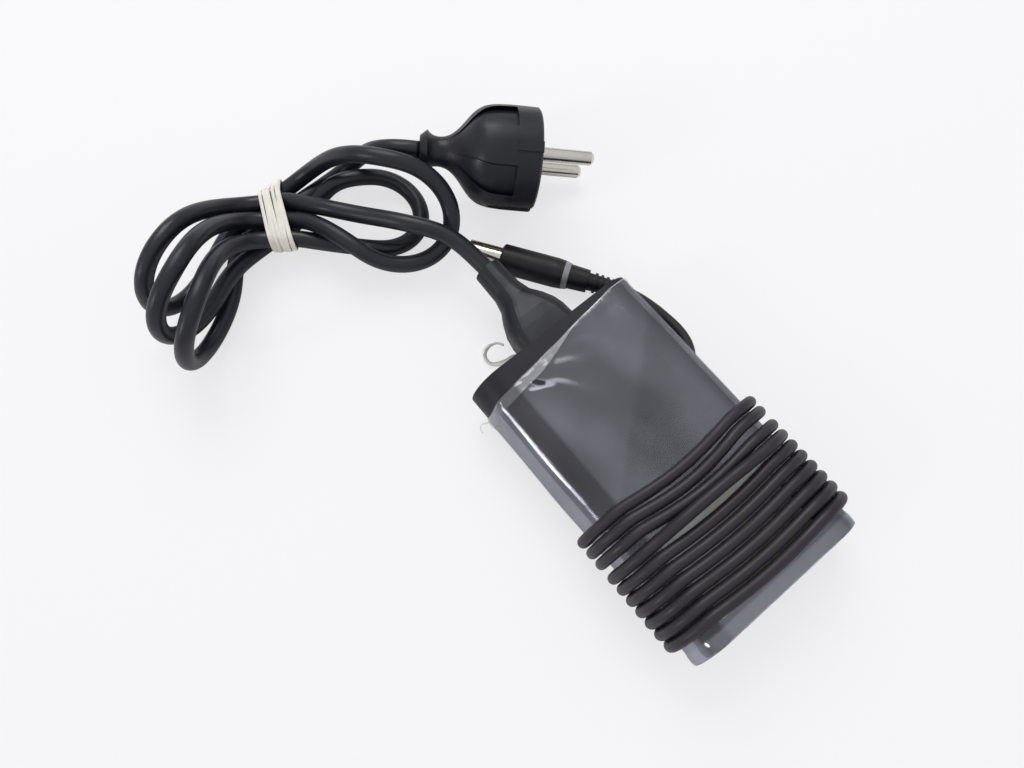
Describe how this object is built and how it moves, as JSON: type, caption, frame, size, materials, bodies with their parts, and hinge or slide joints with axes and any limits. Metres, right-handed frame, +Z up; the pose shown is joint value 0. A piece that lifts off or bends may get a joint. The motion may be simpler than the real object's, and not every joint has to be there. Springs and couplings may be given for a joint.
{
  "type": "laptop power adapter",
  "caption": "Laptop power adapter brick wound with its output cord, with a banded mains lead, an earthed two-pin mains plug and a round barrel plug.",
  "frame": {"origin": "centre of the housing's box", "axes": "+X along the housing to its output end, +Z up out of its top face, +Y across it"},
  "size_m": [0.2202, 0.1555, 0.043],
  "materials": {
    "housing": "black moulded plastic, fine matte grain",
    "clear_film": "clear protective film, glossy and slightly wavy",
    "label": "pale printed label without its print",
    "inlet_moulding": "black moulded plastic",
    "plated_metal": "nickel plated, smooth",
    "board": "bare board laminate",
    "insulation": "thin insulating sheet",
    "ferrite": "dark grey and dull",
    "coil_tape": "yellow insulating tape",
    "capacitor_sleeve": "dark shrink sleeve",
    "copper_wire": "enamelled copper",
    "film_capacitor": "moulded box",
    "heat_sink": "plain rolled plate",
    "fuse_sleeve": "shrink sleeve",
    "output_cord": "charcoal cord sheath, semi-matte",
    "plug_moulding": "black moulded plastic, fine grain",
    "light_ring": "translucent grey light guide",
    "mains_moulding": "dark blue-grey moulding, fine grain",
    "contact_brass": "spring brass",
    "mains_cord": "dark blue-grey cord sheath, semi-matte",
    "band_rubber": "cream rubber, matte"
  },
  "bodies": {
    "adapter": {"top_shell": "housing", "bottom_shell": "housing", "film_wrap": "clear_film", "rating_label": "label", "ac_inlet": "inlet_moulding", "inlet_pins": "plated_metal", "circuit_board": "board", "insulation_sheet": "insulation", "transformer_core": "ferrite", "transformer_coil": "coil_tape", "bulk_capacitor": "capacitor_sleeve", "output_capacitors": "capacitor_sleeve", "filter_choke": "copper_wire", "filter_capacitor": "film_capacitor", "primary_heat_sink": "heat_sink", "secondary_heat_sink": "heat_sink", "switch_transistor": "ferrite", "output_rectifier": "ferrite", "fuse": "fuse_sleeve", "dc_gland": "output_cord", "dc_cord_winding": "output_cord", "dc_cord_tail": "output_cord", "dc_plug_body": "plug_moulding", "dc_plug_light_ring": "light_ring", "dc_plug_collar": "plug_moulding", "dc_plug_strain_relief": "plug_moulding", "dc_plug_barrel": "plated_metal", "dc_plug_insulator": "inlet_moulding", "dc_plug_centre_pin": "plated_metal"},
    "mains_lead": {"connector_body": "mains_moulding", "connector_contacts": "contact_brass", "mains_cord_connector_end": "mains_cord", "mains_cord_hank": "mains_cord", "mains_cord_plug_end": "mains_cord", "rubber_band": "band_rubber", "mains_plug_body": "mains_moulding", "mains_plug_pins": "plated_metal", "earth_clips": "contact_brass", "earth_socket": "contact_brass"}
  },
  "joints": [
    {"name": "connector_pull", "type": "slide", "parent": "adapter", "child": "mains_lead", "axis": [-1, 0, 0], "range_m": [0, 0.0125]}
  ]
}
